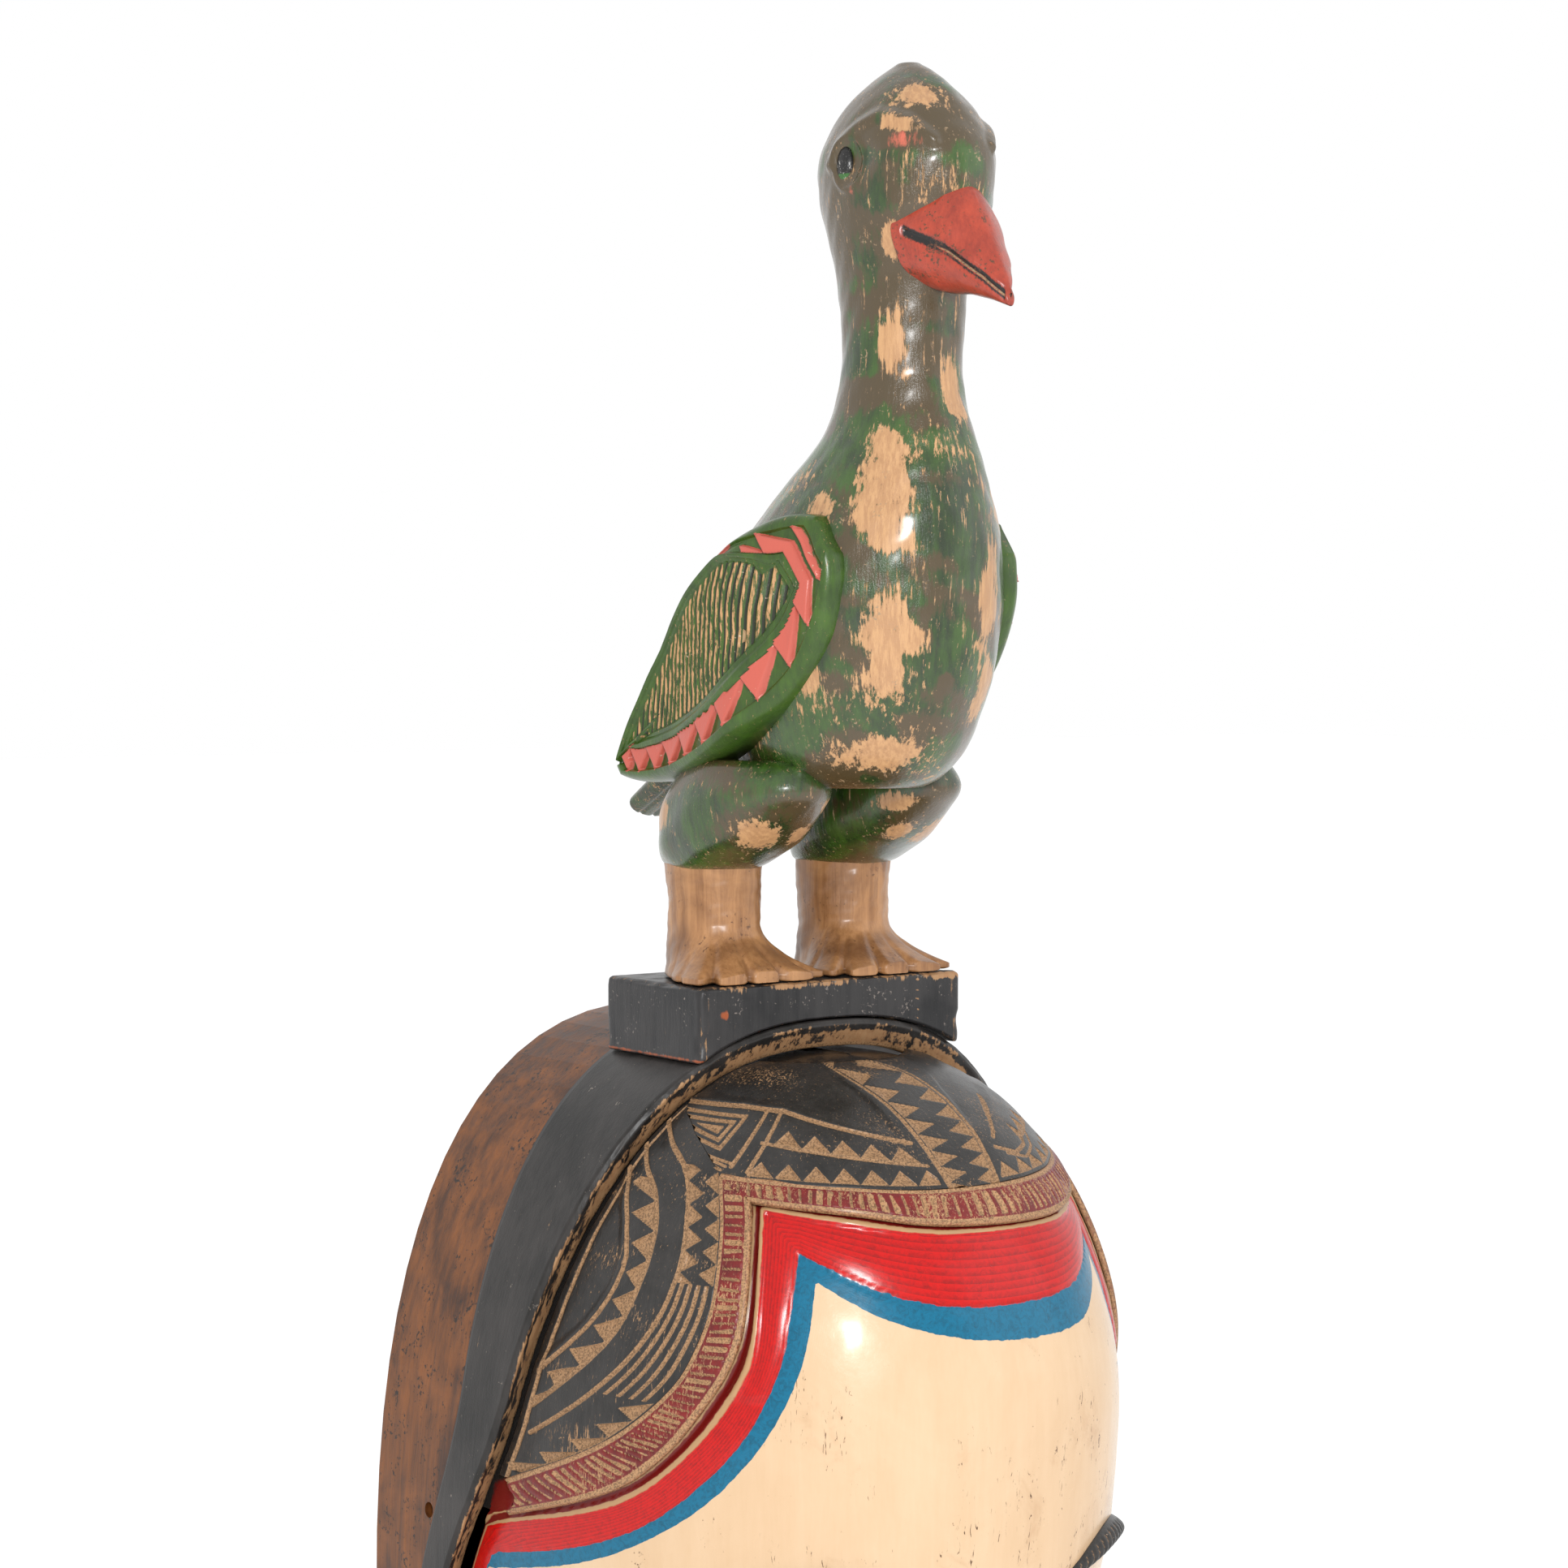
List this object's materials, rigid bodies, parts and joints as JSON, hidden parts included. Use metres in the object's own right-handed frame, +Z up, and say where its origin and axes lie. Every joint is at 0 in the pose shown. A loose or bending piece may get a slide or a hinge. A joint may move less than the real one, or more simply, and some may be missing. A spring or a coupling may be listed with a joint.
{
  "type": "wall mask with bird crest",
  "caption": "Carved and painted wooden wall mask with a domed forehead, scalloped carved hair and a long-necked bird standing on a block as its crest; hollow back with tie holes.",
  "frame": {"origin": "on the wall plane, in the middle of the top band of the back rim's bearing face", "axes": "+Z up along the mask, +X to the viewer's right, the face looks toward -Y and the wall's side is +Y"},
  "size_m": [0.224, 0.197, 0.632],
  "materials": {
    "raw_brown_wood": "bare wood, warm brown and blotchy, satin",
    "black_painted_wood": "black painted wood, worn at the edges",
    "cream_painted_wood": "cream gloss paint with red and blue bands, chipped",
    "carved_black_hair": "black paint over chip carving, tan wood in the cuts",
    "red_hatched_band": "dark red paint with cut tan strokes",
    "lip_red": "red gloss paint",
    "brow_black": "black paint over fine carved hatching",
    "green_painted_wood": "brushed green paint worn through to tan wood",
    "wing_painted_wood": "green paint, coral points and grooved tan field",
    "beak_coral": "coral red paint, speckled",
    "eye_dark": "dark painted eye with pale specks",
    "leg_tan_wood": "bare tan wood, satin",
    "peg_wood": "plain hardwood peg"
  },
  "bodies": {
    "root": {"back_rim": "raw_brown_wood", "border": "black_painted_wood", "face_shell": "cream_painted_wood", "hair_center": "carved_black_hair", "hair_left": "carved_black_hair", "hair_right": "carved_black_hair", "hatched_band": "red_hatched_band", "brow_left": "brow_black", "brow_right": "brow_black", "eyelid_left": "cream_painted_wood", "eyelid_right": "cream_painted_wood", "nose": "cream_painted_wood", "lips": "lip_red", "crest_block": "black_painted_wood", "crest_dowels": "peg_wood", "bird_body": "green_painted_wood", "beak": "beak_coral", "beak_peg": "peg_wood", "bird_eye_left": "eye_dark", "bird_eye_right": "eye_dark", "wing_left": "wing_painted_wood", "wing_right": "wing_painted_wood", "wing_pegs": "peg_wood", "tail": "green_painted_wood", "tail_peg": "peg_wood", "thigh_left": "green_painted_wood", "thigh_right": "green_painted_wood", "thigh_pegs": "peg_wood", "leg_left": "leg_tan_wood", "leg_right": "leg_tan_wood"}
  },
  "joints": []
}
